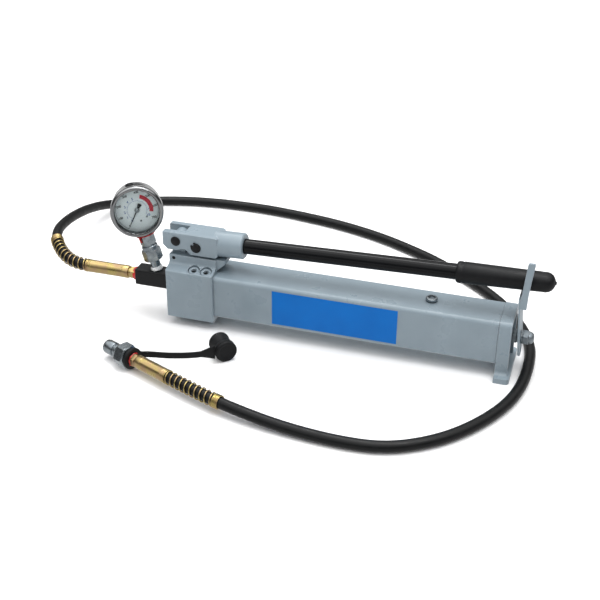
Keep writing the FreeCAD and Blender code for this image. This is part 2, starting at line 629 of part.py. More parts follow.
def make_block():
    """The port block that carries the gauge and the hose on the head's free end."""
    half = size("block_section") / 2
    left = -54 - size("gauge_x")
    bar = box("block_bar", (left, -half, -half), "dims.block_length", "dims.block_section",
              "dims.block_section")
    soft = rounded("block_soft", bar, 2.5, along((1, 0, 0)))
    nosed = rounded("block_nosed", soft, 2, lambda edge: edge.BoundBox.XMax < left + 0.01)
    tools = [
        rod("block_channel", "4", "dims.block_length + 2", (left - 1, 0, 0), X_WAY),
        rod("block_hose_thread", "6.6", "13", (left - 1, 0, 0), X_WAY),
        rod("block_head_thread", "6.6", "12.1", (-4 - size("gauge_x") - 12, 0, 0), X_WAY),
    ]
    lean = Rotation(Vector(0, 1, 0), -size("gauge_lean"))
    tools.append(rod("block_gauge_thread", "6.6", "25", (0, 0, 0), lean))
    sub_part("gauge_block", minus("gauge_block", nosed, *tools), STAND.multiply(BLOCK))
    nipple = [rod("nipple_block_end", "6.5", "11", (-4 - size("gauge_x") - 11, 0, 0), X_WAY),
              hexagon("nipple_hex", 19, "3.9", (-4 - size("gauge_x"), 0, 0), X_WAY),
              rod("nipple_head_end", "5.9", "12", (-0.2 - size("gauge_x"), 0, 0), X_WAY)]
    bore = rod("nipple_bore", "2.5", "40", (-25 - size("gauge_x") + 5, 0, 0), X_WAY)
    sub_part("block_nipple", minus("block_nipple", joined("nipple_solid", *nipple), bore),
             STAND.multiply(BLOCK))


def make_gauge_stem():
    frame = STAND.multiply(GAUGE)
    thread = rod("adapter_thread", "6.5", "18", (0, 0, 9))
    hex_part = hexagon("adapter_hex", 22, "16", (0, 0, 26))
    shoulder = rod("adapter_shoulder", "10.4", "4.9", (0, 0, 42))
    bore = rod("adapter_bore", "3.2", "50", (0, 0, 5))
    sub_part("gauge_adapter", minus("gauge_adapter",
                                    joined("adapter_solid", thread, hex_part, shoulder), bore), frame)
    flats = hexagon("stem_hex", 18, "16.2", (0, 0, 48.5))
    neck = rod("stem_neck", "8.4", "1.6", (0, 0, 47))
    root = rod("stem_root", "7", "4.5", (0, 0, 64.6))
    passage = rod("stem_passage", "2", "30", (0, 0, 44))
    sub_part("gauge_stem", minus("gauge_stem", joined("stem_solid", flats, neck, root), passage),
             frame)


def make_gauge():
    """Case, movement, dial, glass and bezel about the dial's axis, which is this frame's Z."""
    frame = STAND.multiply(DIAL)
    depth = size("case_depth")
    back = -depth + 13
    shell = rod("case_shell", "dims.case_radius", "dims.case_depth", (0, 0, back))
    hollow = rod("case_hollow", "dims.case_radius - 1.6", "dims.case_depth", (0, 0, back + 1.8))
    entry = rod("case_entry", "7.1", "12", (0, -36, 0),
                Rotation(Vector(0, 0, 1), Vector(0, 1, 0)))
    vent = rod("case_vent", "4.2", "12", (0, 26, 0), Rotation(Vector(0, 0, 1), Vector(0, 1, 0)))
    sub_part("gauge_case", minus("gauge_case", shell, hollow, entry, vent), frame)
    lip = ring("bezel_lip", "dims.bezel_radius - 1.2", "dims.dial_radius - 0.6", "3", (0, 0, 16.2))
    skirt = ring("bezel_skirt", "dims.bezel_radius", "dims.case_radius + 0.1", "8", (0, 0, 8.4))
    sub_part("gauge_bezel", joined("gauge_bezel", skirt, lip), frame)
    sub_part("gauge_lens", rod("gauge_lens", "dims.case_radius - 0.4", "2", (0, 0, 14.1)), frame)
    dial = rod("dial_plate", "dims.dial_radius", "0.8", (0, 0, 7.6))
    sub_part("gauge_dial", minus("gauge_dial", dial, rod("dial_hole", "1.4", "3", (0, 0, 6.6))),
             frame)
    sub_part("gauge_movement", ring("gauge_movement", "9", "1.3", "7", (0, 0, 0.4)), frame)
    curl = bound("Part::Torus", "bourdon_curl", (0, 0, -4), Radius1="20", Radius2="2.6",
                 Angle3="270")
    curl.Placement = Placement(Vector(0, 0, -4), Rotation(Vector(0, 0, 1), -80))
    sub_part("bourdon_tube", curl, frame)
    plug = joined("fill_plug_solid", rod("fill_plug_stem", "4.1", "4", (0, 28.4, 0), Y_WAY),
                  cone("fill_plug_cap", "5.6", "4.6", "2.6", (0, 31.9, 0), Y_WAY))
    sub_part("gauge_fill_plug", plug, frame)
    hub = rod("pointer_hub", "3.2", "2", (0, 0, 9.2))
    spindle = rod("pointer_spindle", "1.2", "9", (0, 0, 0.9))
    blade = box("pointer_blade", (-0.7, 0, 9.6), "1.4", "22.5", "0.7")
    tail = box("pointer_tail", (-2.8, -9.4, 9.6), "5.6", "9.4", "0.7")
    turn = Placement(Vector(0, 0, 0), Rotation(Vector(0, 0, 1), 140))
    sub_part("gauge_pointer", joined("gauge_pointer", hub, spindle, blade, tail),
             frame.multiply(turn))


# ---------------------------------------------------------------- hose

def hose_path(points):
    """Straight runs joined by tangent arcs, each as large as its two runs allow."""
    corners = [Vector(*p) for p in points]
    edges, here, radii = [], corners[0], []
    for before, corner, after in zip(corners, corners[1:], corners[2:]):
        first, last = corner - before, after - corner
        into, out = Vector(first).normalize(), Vector(last).normalize()
        half_turn = into.getAngle(out) / 2
        shorter = min(first.Length, last.Length)
        start, end = corner - into * (0.45 * shorter), corner + out * (0.45 * shorter)
        radius = 0.45 * shorter / math.tan(half_turn)
        towards = (out - into).normalize()
        middle = corner + towards * (radius / math.cos(half_turn) - radius)
        edges.append(Part.LineSegment(here, start).toShape())
        edges.append(Part.Arc(start, middle, end).toShape())
        radii.append(radius)
        here = end
    edges.append(Part.LineSegment(here, corners[-1]).toShape())
    return edges, radii


def stretch(edges, length):
    """The first part of a path, up to a length along it."""
    taken, left = [], length
    for edge in edges:
        if edge.Length >= left:
            end = edge.getParameterByLength(left)
            taken.append(edge.Curve.toShape(edge.FirstParameter, end))
            break
        taken.append(edge)
        left -= edge.Length
    return taken


def swept(edges, outer, inner):
    """A tube along a path."""
    solids = []
    way = edges[0].tangentAt(edges[0].FirstParameter)
    start = edges[0].valueAt(edges[0].FirstParameter)
    for radius in (outer, inner):
        section = Part.Wire(Part.Circle(start, way, radius).toShape())
        solids.append(Part.Wire(edges).makePipeShell([section], True, False))
    return solids[0].cut(solids[1])


def feature(label, shape, frame=STAND):
    made = doc.addObject("Part::Feature", label)
    made.Shape = shape
    return sub_part(label, made, frame)


def make_hose():
    edges, radii = hose_path(HOSE_ROUTE)
    back_edges, _ = hose_path(HOSE_ROUTE[::-1])
    outer, inner = size("hose_radius"), size("hose_bore")
    length = sum(edge.Length for edge in edges)
    tube = swept(edges, outer, inner)
    expected = math.pi * (outer ** 2 - inner ** 2) * length
    print(f"hose: {length:.1f} mm, radii {[round(r) for r in radii]}")
    print(f"hose volume over section times length: {tube.Volume / expected:.4f}")
    feature("hose", tube)
    for label, path in (("port_guard", edges), ("end_guard", back_edges)):
        cover = stretch(path, size("guard_length"))
        feature(label, swept(cover, size("guard_outer"), size("guard_inner")))


def make_port_fitting():
    """Fitting and ferrule at the pump's end of the hose, along -X."""
    way = Rotation(Vector(0, 0, 1), Vector(-1, 0, 0))
    z = size("block_height")
    thread = rod("port_thread", "6.5", "11", (-43.2, MIDDLE, z), way)
    nut = hexagon("port_hex", 15, "9", (-54.2, MIDDLE, z), way)
    neck = rod("port_neck", "6.5", "2.8", (-63.2, MIDDLE, z), way)
    bore = rod("port_bore", "dims.hose_bore", "40", (-40, MIDDLE, z), way)
    sub_part("port_fitting", minus("port_fitting", joined("port_solid", thread, nut, neck), bore))
    sub_part("port_ferrule", ring("port_ferrule", "dims.ferrule_radius", "dims.hose_bore",
                                  "dims.port_ferrule_length", (-66, MIDDLE, z), way))


COUPLER_START = 14         # from the ferrule's end to the coupler half's first face
CAP_WAY = Vector(-0.666, 0.746, 0).normalize()
CAP_AT = Vector(107.1, -63.6, size("dust_cap_radius"))


def make_coupler():
    """Ferrule, fitting and coupler half at the hose's far end, along the end's own axis."""
    way = Rotation(Vector(0, 0, 1), Vector(1, 0, 0))
    turn = Rotation(Vector(0, 0, 1), END_HEADING)
    end = STAND.multiply(Placement(Vector(*HOSE_ROUTE[-1]), turn))
    sub_part("end_ferrule", ring("end_ferrule", "dims.ferrule_radius", "dims.hose_bore",
                                 "dims.end_ferrule_length", (0, 0, 0), way), end)
    start = size("end_ferrule_length")
    fitting = joined("fitting_solid", hexagon("fitting_hex", 15, "7", (start, 0, 0), way),
                     rod("fitting_thread", "6.8", "12.5", (start + 6.5, 0, 0), way))
    bore = rod("fitting_bore", "dims.hose_bore", "30", (start - 2, 0, 0), way)
    sub_part("end_fitting", minus("end_fitting", fitting, bore), end)
    body_start = start + COUPLER_START
    nose = body_start + 20
    flat_down = way * Rotation(Vector(0, 0, 1), 30)
    turned = [hexagon("coupler_hex", "dims.coupler_flats", "16", (body_start, 0, 0), flat_down),
              cone("coupler_shoulder", "12.5", "10.5", "4", (body_start + 16, 0, 0), way),
              rod("coupler_nose", "dims.nose_radius", "22", (nose, 0, 0), way)]
    bores = [rod("coupler_thread", "6.85", "12", (body_start - 1, 0, 0), way),
             rod("coupler_channel", "4", "60", (body_start - 1, 0, 0), way),
             rod("coupler_mouth", "6.4", "10", (nose + 13, 0, 0), way),
             ring("nose_groove", "dims.nose_radius + 1", "dims.nose_radius - 1.4", "2.5",
                  (nose + 4, 0, 0), way)]
    sub_part("coupler_body", minus("coupler_body", joined("coupler_solid", *turned), *bores), end)
    poppet = joined("poppet_solid", rod("poppet_stem", "3.6", "14", (nose + 4, 0, 0), way),
                    cone("poppet_head", "6.2", "4.8", "4.4", (nose + 16, 0, 0), way))
    sub_part("coupler_poppet", poppet, end)
    return end


def make_dust_cap(end):
    """The rubber cap and the strap that ties it to the coupler."""
    start = size("end_ferrule_length") + 8
    way = Rotation(Vector(0, 0, 1), Vector(1, 0, 0))
    loop_at = end.multVec(Vector(start + 2.5, 0, 0)) - STAND.Base
    cap = Placement(CAP_AT, Rotation(Vector(0, 0, 1), CAP_WAY))
    long = size("dust_cup_length")
    flange = rod("cap_flange", "dims.dust_cap_radius", "4", (0, 0, 0))
    cup = rod("cap_cup", "dims.dust_cup_radius", "dims.dust_cup_length", (0, 0, 3))
    lip = rod("cap_lip_ring", "dims.dust_cup_radius + 0.8", "4", (0, 0, long - 1))
    room = rod("cap_room", "dims.nose_radius + 0.3", "dims.dust_cup_length", (0, 0, 6))
    built = minus("dust_cap", joined("cap_solid_rubber", flange, cup, lip), room)
    sub_part("dust_cap", built, STAND.multiply(cap))
    tall, thick = size("strap_height"), size("strap_thickness")
    neck_at = CAP_AT + CAP_WAY * 6.6
    gap = size("dust_cup_radius") + 0.1
    join = neck_at + Vector(-CAP_WAY.y, CAP_WAY.x, 0) * (gap + 1)
    loop = ring("strap_loop", "13.9", "7", "5", (start, 0, 0), way)
    loop.Placement = Placement(-STAND.Base, Rotation()).multiply(end)
    side = loop_at + Vector(0.39, 0.92, 0) * 13
    knots = [side, Vector(20, -97, 14), Vector(44, -92, 14), Vector(70, -82.3, 14), join]
    line = Part.BSplineCurve()
    line.interpolate([Vector(p.x, p.y, 14 - tall / 2) for p in knots])
    path = line.toShape()
    across = path.tangentAt(path.FirstParameter).cross(Vector(0, 0, 1)).normalize()
    left = path.valueAt(path.FirstParameter) + across * (thick / 2)
    right = left - across * thick
    up = Vector(0, 0, tall)
    section = Part.makePolygon([left, right, right + up, left + up, left])
    band = Part.Wire(path).makePipeShell([section], True, False)
    keeper_frame = Placement(neck_at - CAP_WAY * 2.5, Rotation(Vector(0, 0, 1), CAP_WAY))
    keeper = Part.makeCylinder(gap + 1.1, 5).cut(Part.makeCylinder(gap, 7, Vector(0, 0, -1)))
    keeper.Placement = keeper_frame
    doc.recompute()
    hole = Part.makeCylinder(7, 9, Vector(start - 1, 0, 0), Vector(1, 0, 0))
    hole.Placement = loop.Placement
    room_cut = Part.makeCylinder(gap, 40, Vector(0, 0, -20))
    room_cut.Placement = keeper_frame
    strap = band.cut(hole).cut(room_cut).fuse([loop.Shape, keeper]).removeSplitter()
    doc.removeObject(loop.Name)
    feature("cap_strap", strap.Solids[0] if len(strap.Solids) == 1 else strap)


def check_all():
    """Stops before anything is written if an object failed or a sub-part isn't sound."""
    doc.recompute()
    for made in doc.Objects:
        if "Invalid" in made.State or "Error" in made.State:
            raise RuntimeError(f"{made.Name} failed: {made.State}")
    for made in PIECES:
        if made.Shape.isNull() or not made.Shape.isValid() or not made.Shape.Solids:
            raise RuntimeError(f"{made.Label} isn't a valid solid")


make_head()
make_valves()
make_head_trim()
make_reservoir()
make_end_cap()
make_tie_rod()
make_filler()
make_clip()
make_fork()
make_lever_tube()
make_pins()
make_piston()
make_release()
make_block()
make_gauge_stem()
make_gauge()
make_hose()
make_port_fitting()
make_dust_cap(make_coupler())
check_all()

os.makedirs("parts", exist_ok=True)
for piece in PIECES:
    piece.Shape.exportStep(os.path.join("parts", f"{piece.Label}.step"))
print(f"{len(PIECES)} sub-parts written")
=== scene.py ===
"""Looks of the hydraulic hand pump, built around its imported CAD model.

Pieces are drawn in millimetres in the local frames that the CAD source uses, and the matrix of
each frame brings them to metres in the row frame.
"""
import math

import bmesh
import bpy
from mathutils import Matrix, Vector, noise


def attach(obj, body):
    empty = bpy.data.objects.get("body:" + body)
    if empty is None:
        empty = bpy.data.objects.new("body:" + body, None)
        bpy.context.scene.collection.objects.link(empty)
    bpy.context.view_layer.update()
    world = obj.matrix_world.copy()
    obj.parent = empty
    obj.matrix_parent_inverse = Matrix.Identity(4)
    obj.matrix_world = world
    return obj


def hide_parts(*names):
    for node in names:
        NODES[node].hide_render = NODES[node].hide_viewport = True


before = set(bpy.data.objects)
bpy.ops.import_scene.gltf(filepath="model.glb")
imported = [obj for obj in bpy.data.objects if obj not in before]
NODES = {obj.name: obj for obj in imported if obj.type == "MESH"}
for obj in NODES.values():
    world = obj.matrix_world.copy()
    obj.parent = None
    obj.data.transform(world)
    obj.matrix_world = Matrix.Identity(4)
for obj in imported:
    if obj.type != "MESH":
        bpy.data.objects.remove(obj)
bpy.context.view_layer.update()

MM = 0.001


def move(x, y, z):
    return Matrix.Translation((x, y, z))


def turn(degrees, axis):
    return Matrix.Rotation(math.radians(degrees), 4, axis)


# Frames of the CAD source, whose working frame is in millimetres.
STAND = Matrix.Scale(MM, 4) @ move(-201, -37.35, 0)
GAUGE = STAND @ move(-22.6, 32, 50) @ turn(-15.5, "Y") @ turn(26.4, "Z")
REACH = 99.2                              # from the port block's middle to the dial's
DIAL = GAUGE @ move(0, 0, REACH) @ turn(90, "X")
LEVER = STAND @ move(66.6, 32, 112.9) @ turn(90 - 1.78, "Y")
PORT = STAND @ move(-54.2, 32, 50) @ turn(-90, "Y")
ROD = STAND @ move(454.24, 32, 47) @ turn(90, "Y")     # where the clip's plate ends on the rod

# The hose's route, which the CAD source sweeps its tube along, in metres.
HOSE_ROUTE = (
    (-0.327, -0.00535, 0.05), (-0.342, -0.00535, 0.05), (-0.364, 0.00215, 0.052),
    (-0.386, 0.02065, 0.057), (-0.402, 0.04315, 0.0605), (-0.413, 0.07365, 0.059),
    (-0.4205, 0.12165, 0.052), (-0.425, 0.17565, 0.04), (-0.4255, 0.22365, 0.026),
    (-0.421, 0.25865, 0.014), (-0.398, 0.29065, 0.007), (-0.356, 0.31165, 0.007),
    (-0.287, 0.32865, 0.007), (-0.201, 0.33165, 0.007), (-0.14, 0.32565, 0.007),
    (-0.065, 0.31265, 0.007), (0.005, 0.28965, 0.007), (0.057, 0.26365, 0.007),
    (0.105, 0.23565, 0.007), (0.171, 0.18365, 0.007), (0.211, 0.14265, 0.007),
    (0.241, 0.09665, 0.007), (0.263, 0.04365, 0.007), (0.2665, -0.01335, 0.007),
    (0.261, -0.06935, 0.007), (0.243, -0.11735, 0.007), (0.213, -0.16435, 0.007),
    (0.178, -0.19835, 0.007), (0.136, -0.22135, 0.007), (0.087, -0.22635, 0.007),
    (0.023, -0.22185, 0.008), (-0.038, -0.21185, 0.012), (-0.0928, -0.19515, 0.014),
    (-0.1434, -0.17365, 0.014),
)
HOSE_RADIUS = 0.007
GUARD_LENGTH = 0.086

last, before = Vector(HOSE_ROUTE[-1]), Vector(HOSE_ROUTE[-2])
END_WAY = (last - before).normalized()
END_HEADING = math.degrees(math.atan2(END_WAY.y, END_WAY.x))
END = Matrix.Translation(last) @ turn(END_HEADING, "Z") @ turn(90, "Y") @ Matrix.Scale(MM, 4)


# ---------------------------------------------------------------- camera, floor and light

def make_camera():
    data = bpy.data.cameras.new("camera")
    data.sensor_width = 36
    data.lens = 65.408
    camera = bpy.data.objects.new("camera", data)
    bpy.context.scene.collection.objects.link(camera)
    right = Vector((0.95429921, 0.29875446, 0.00766786))
    up = Vector((-0.15287899, 0.46596727, 0.87149442))
    back = Vector((0.25678987, -0.83283868, 0.49034548))
    camera.matrix_world = Matrix((right, up, back)).transposed().to_4x4()
    camera.location = (0.32941, -1.16805, 0.73312)
    bpy.context.scene.camera = camera


def area_light(name, power, size, place, aim):
    """A rectangular soft light; size is its width along X and its depth."""
    data = bpy.data.lights.new(name, "AREA")
    data.shape = "RECTANGLE"
    data.energy = power
    data.size, data.size_y = size
    light = bpy.data.objects.new(name, data)
    bpy.context.scene.collection.objects.link(light)
    light.location = place
    light.rotation_euler = (Vector(aim) - Vector(place)).to_track_quat("-Z", "Y").to_euler()


def make_light():
    world = bpy.data.worlds.new("studio")
    bpy.context.scene.world = world
    world.use_nodes = True
    tree = world.node_tree
    sky = tree.nodes["Background"]
    way = node(tree, "ShaderNodeTexCoord")
    split = node(tree, "ShaderNodeSeparateXYZ", {"Vector": way.outputs["Generated"]})
    ramp = node(tree, "ShaderNodeValToRGB", {"Fac": split.outputs["Z"]})
    stops = ramp.color_ramp.elements
    stops[0].position, stops[0].color = 0.0, (0.5, 0.5, 0.5, 1)
    stops[1].position, stops[1].color = 1.0, (1.0, 1.0, 1.0, 1)
    for position, level in ((0.05, 0.05), (0.42, 0.08), (0.62, 0.9)):
        stops.new(position).color = (level, level, level, 1)
    tree.links.new(ramp.outputs["Color"], sky.inputs["Color"])
    sky.inputs["Strength"].default_value = 1.55
    area_light("overhead", 9, (1.8, 1.2), (-0.1, -0.2, 1.8), (0, 0, 0))
    area_light("strip", 13, (2.2, 0.22), (0.1, 0.15, 1.5), (0, 0, 0))
    area_light("front", 1, (1.2, 0.8), (-0.6, -1.8, 1.0), (0, 0, 0.1))
    bpy.context.scene.view_settings.view_transform = "Standard"


def make_floor():
    mesh = bpy.data.meshes.new("floor")
    reach = 12
    corners = [(-reach, -reach, 0), (reach, -reach, 0), (reach, reach, 0), (-reach, reach, 0)]
    mesh.from_pydata(corners, [], [(0, 1, 2, 3)])
    floor = bpy.data.objects.new("floor", mesh)
    bpy.context.scene.collection.objects.link(floor)
    floor.location.z = -0.0002
    floor.visible_glossy = False          # the shiny parts mirror a dark surround below them
    floor.data.materials.append(surface("floor_paper", (250, 250, 250), (246, 246, 247), 0.85,
                                        grain_size=2, grain_depth=0.01))


# ---------------------------------------------------------------- node materials

def srgb(red, green, blue):
    """A colour given as 0 to 255 in sRGB, as the shader's linear numbers."""
    def linear(level):
        level /= 255
        return level / 12.92 if level <= 0.04045 else ((level + 0.055) / 1.055) ** 2.4
    return (linear(red), linear(green), linear(blue), 1.0)


def node(tree, kind, inputs=(), **properties):
    """A new node; an input is a plain value or the socket that feeds it."""
    made = tree.nodes.new(kind)
    for key, value in properties.items():
        setattr(made, key, value)
    for key, value in dict(inputs).items():
        if isinstance(value, bpy.types.NodeSocket):
            tree.links.new(value, made.inputs[key])
        else:
            made.inputs[key].default_value = value
    return made


def remap(tree, value, low, high, to_low, to_high):
    """A value from low to high, clamped and brought to another range."""
    return node(tree, "ShaderNodeMapRange", {
        "Value": value, "From Min": low, "From Max": high,
        "To Min": to_low, "To Max": to_high}).outputs["Result"]


def blended(tree, share, first, second):
    """A colour that goes from first to second as share goes from 0 to 1."""
    mix = node(tree, "ShaderNodeMix", data_type="RGBA")
    for socket, value in ((mix.inputs[0], share), (mix.inputs[6], first), (mix.inputs[7], second)):
        if isinstance(value, bpy.types.NodeSocket):
            tree.links.new(value, socket)
        else:
            socket.default_value = value
    return mix.outputs[2]


def surface(name, colour, patches, roughness, metallic=0.0, spread=0.08, patch_size=30,
            grain_size=1.2, grain_depth=0.02, edge_wear_and_highlight=None, edge=0.6, specular=0.5):
    """A finish with patches of a second colour, a grain, uneven gloss and softened edges.

    Sizes are in millimetres. The edge colour is a lighter colour laid along the edges: partly wear
    and partly a painted highlight standing in for the shine that rounded edges catch.
    """
    material = bpy.data.materials.new(name)
    material.use_nodes = True
    tree = material.node_tree
    shader = tree.nodes["Principled BSDF"]
    shader.inputs["Metallic"].default_value = metallic
    shader.inputs["Specular IOR Level"].default_value = specular
    place = node(tree, "ShaderNodeTexCoord").outputs["Object"]
    cloud = node(tree, "ShaderNodeTexNoise", {
        "Vector": place, "Scale": 1 / (patch_size * MM), "Detail": 4.0}).outputs[0]
    grain = node(tree, "ShaderNodeTexNoise", {
        "Vector": place, "Scale": 1 / (grain_size * MM), "Detail": 3.0}).outputs[0]
    soft = node(tree, "ShaderNodeBevel", {"Radius": edge * MM}, samples=4).outputs[0]
    bump = node(tree, "ShaderNodeBump", {
        "Height": grain, "Distance": grain_depth * MM, "Normal": soft}).outputs[0]
    tree.links.new(bump, shader.inputs["Normal"])
    tint = blended(tree, remap(tree, cloud, 0.35, 0.65, 0, 1), srgb(*colour), srgb(*patches))
    # Lighter colour along the edges: part wear, part painted highlight in place of the shine of
    # rounded edges.
    if edge_wear_and_highlight:
        straight = node(tree, "ShaderNodeNewGeometry").outputs["Normal"]
        facing = node(tree, "ShaderNodeVectorMath", {0: soft, 1: straight},
                      operation="DOT_PRODUCT").outputs["Value"]
        on_edge = remap(tree, facing, 0.965, 0.80, 0, 1)
        patchy = remap(tree, grain, 0.38, 0.62, 0.5, 1)
        share = node(tree, "ShaderNodeMath", {0: on_edge, 1: patchy}, operation="MULTIPLY")
        tint = blended(tree, share.outputs[0], tint, srgb(*edge_wear_and_highlight))
    tree.links.new(tint, shader.inputs["Base Color"])
    uneven = remap(tree, cloud, 0.3, 0.7, roughness - spread, roughness + spread)
    tree.links.new(uneven, shader.inputs["Roughness"])
    return material


def clear(name, tint):
    """Glass that shows what is behind it, with the shine of its surface."""
    material = bpy.data.materials.new(name)
    material.use_nodes = True
    tree = material.node_tree
    tree.nodes.remove(tree.nodes["Principled BSDF"])
    through = node(tree, "ShaderNodeBsdfTransparent", {"Color": srgb(*tint)})
    smear = node(tree, "ShaderNodeTexNoise", {"Scale": 60.0, "Detail": 3.0}).outputs[0]
    shine = node(tree, "ShaderNodeBsdfGlossy", {
        "Roughness": remap(tree, smear, 0.3, 0.7, 0.02, 0.07)})
    share = node(tree, "ShaderNodeFresnel", {"IOR": 1.18}).outputs[0]
    mix = node(tree, "ShaderNodeMixShader", {0: share, 1: through.outputs[0], 2: shine.outputs[0]})
    tree.links.new(mix.outputs[0], tree.nodes["Material Output"].inputs["Surface"])
    return material


def make_materials():
    return {
        # The edge colours given below are partly wear and partly painted highlight along the edges.
        "paint": surface("grey_paint", (133, 147, 156), (128, 142, 151), 0.32, grain_size=1.6,
                         grain_depth=0.025, edge_wear_and_highlight=(190, 199, 206), edge=1.0, specular=0.5),
        "gloss_black": surface("gloss_black", (9, 10, 12), (13, 14, 16), 0.14, spread=0.04,
                               grain_size=0.8, grain_depth=0.003, specular=0.18),
        "rubber": surface("black_rubber", (15, 16, 18), (20, 21, 23), 0.55, grain_size=0.5,
                          grain_depth=0.03, patch_size=14, specular=0.22),
        "grip": surface("grip_rubber", (14, 15, 17), (19, 20, 22), 0.45, grain_size=0.7,
                        grain_depth=0.04, patch_size=20, specular=0.22),
        "hose": surface("hose_cover", (10, 11, 12), (15, 16, 17), 0.4, grain_size=0.45,
                        grain_depth=0.04, patch_size=9, spread=0.1, specular=0.24),
        "oxide": surface("black_oxide", (10, 11, 13), (15, 16, 18), 0.42,
                         grain_size=0.9, grain_depth=0.03, edge_wear_and_highlight=(46, 48, 50), edge=0.5,
                         specular=0.3),
        "zinc": surface("bright_zinc", (160, 168, 172), (134, 142, 148), 0.26, metallic=1.0,
                        grain_size=0.5, grain_depth=0.012, patch_size=8, edge_wear_and_highlight=(205, 210, 213),
                        edge=0.4),
        "yellow_zinc": surface("yellow_zinc", (190, 173, 108), (182, 153, 118), 0.3, metallic=1.0,
                               grain_size=0.6, grain_depth=0.012, patch_size=11,
                               edge_wear_and_highlight=(214, 200, 150), edge=0.4),
        "stainless": surface("polished_stainless", (150, 151, 152), (132, 133, 135), 0.12,
                             metallic=1.0, spread=0.04, grain_size=0.4, grain_depth=0.003,
                             patch_size=16),
        "steel": surface("bare_steel", (164, 167, 170), (140, 143, 146), 0.3, metallic=1.0,
                         grain_size=0.5, grain_depth=0.01, patch_size=10),
        "brass": surface("filter_brass", (196, 164, 92), (170, 138, 74), 0.4, metallic=1.0,
                         grain_size=0.4, grain_depth=0.05, patch_size=6),
        "label": surface("label_blue", (0, 104, 187), (0, 99, 180), 0.35, spread=0.06, grain_size=3,
                         grain_depth=0.006, patch_size=40, edge=0.1, specular=0.15),
        "dial": surface("dial_white", (238, 240, 242), (233, 236, 238), 0.5, grain_size=0.4,
                        grain_depth=0.004, patch_size=14, edge=0.1),
        "black_ink": surface("black_ink", (8, 9, 11), (12, 13, 15), 0.5, grain_size=0.3,
                             grain_depth=0.003, patch_size=6, edge=0.05),
        "blue_ink": surface("blue_ink", (70, 96, 160), (84, 108, 168), 0.5, grain_size=0.3,
                            grain_depth=0.003, patch_size=6, edge=0.05),
        "red_ink": surface("red_ink", (206, 20, 50), (192, 16, 44), 0.45, grain_size=0.3,
                           grain_depth=0.003, patch_size=6, edge=0.05),
        "sealant": surface("red_sealant", (212, 38, 34), (176, 22, 26), 0.35, grain_size=1.2,
                           grain_depth=0.15, patch_size=4, edge=0.2),
        "tape": surface("white_tape", (232, 233, 232), (206, 208, 210), 0.55, grain_size=0.8,
                        grain_depth=0.12, patch_size=5, edge=0.2),
        "dull_zinc": surface("dull_zinc", (150, 158, 163), (132, 140, 146), 0.42, metallic=1.0,
                             grain_size=0.8, grain_depth=0.03, patch_size=6,
                             edge_wear_and_highlight=(190, 196, 200), edge=0.5),
        "glass": clear("clear_glass", (246, 249, 249)),
    }


# ---------------------------------------------------------------- mesh kit

def skin(rings, looped=False):
    """Points and faces of a surface through rings that have equally many points."""
    count = len(rings[0])
    faces = []
    for i in range(len(rings) if looped else len(rings) - 1):
        a, b = i * count, (i + 1) % len(rings) * count
        faces += [(a + j, a + (j + 1) % count, b + (j + 1) % count, b + j) for j in range(count)]
    points = [point for ring in rings for point in ring]
    if not looped:
        faces.append(tuple(reversed(range(count))))
        faces.append(tuple(range(len(points) - count, len(points))))
    return points, faces


def around(steps, place):
    """place(angle) at equal steps of a full turn."""
    return [place(2 * math.pi * i / steps) for i in range(steps)]


def polar(radius, angle, z):
    return (radius * math.cos(angle), radius * math.sin(angle), z)


def lathe(profile, steps=72, looped=False, wobble=None):
    """A profile of (radius, z) turned about Z. wobble(angle, index) adds to the radius."""
    rings = []
    for index, (radius, z) in enumerate(profile):
        rings.append(around(steps, lambda a: polar(
            radius + (wobble(a, index) if wobble else 0), a, z)))
    return skin(rings, looped)


def hexagonal(flats, low, high, hole=0.0, start=0.0, steps=72):
    """A hexagonal bar whose corners are turned off at both ends, as on a nut."""
    inscribed = flats / 2 - 0.35

    def reach(angle):
        return flats / 2 / math.cos((angle - math.radians(start)) % (math.pi / 3) - math.pi / 6)

    def shoulder(end, inward):
        return around(steps, lambda a: polar(
            reach(a), a, end + inward * (reach(a) - inscribed) * 0.577))

    rings = [around(steps, lambda a: polar(inscribed, a, low)), shoulder(low, 1),
             shoulder(high, -1), around(steps, lambda a: polar(inscribed, a, high))]
    if hole:
        rings += [around(steps, lambda a: polar(hole, a, z)) for z in (high, low)]
    return skin(rings, looped=bool(hole))


def extruded(outline, low, high):
    """An outline in X and Y, carried from one height to another."""
    return skin([[(x, y, z) for x, y in outline] for z in (low, high)])


def swept(path, section, ups, spread=None):
    """A section of (side, up) carried along a path; ups gives the up way at each point, and
    spread how much taller the section is there."""
    spread = spread or [1] * len(path)
    rings = []
    for i, point in enumerate(path):
        way = (path[min(i + 1, len(path) - 1)] - path[max(i - 1, 0)]).normalized()
        side = way.cross(ups[i]).normalized()
        up = side.cross(way)
        rings.append([point + side * u + up * (v * spread[i]) for u, v in section])
    return skin(rings)


def disc(radius, sides=10):
    return [polar(radius, 2 * math.pi * i / sides, 0)[:2] for i in range(sides)]


def rounded_bar(width, height, corner, steps=4):
    """Outline of a bar with rounded corners, about its middle."""
    outline = []
    for quarter, (sx, sy) in enumerate(((1, 1), (-1, 1), (-1, -1), (1, -1))):
        for i in range(steps + 1):
            angle = math.pi / 2 * (quarter + i / steps)
            outline.append((sx * (width / 2 - corner) + corner * math.cos(angle),
                            sy * (height / 2 - corner) + corner * math.sin(angle)))
    return outline


def placed(matrix, shape):
    """A shape moved within its frame."""
    points, faces = shape
    return [matrix @ Vector(p) for p in points], faces


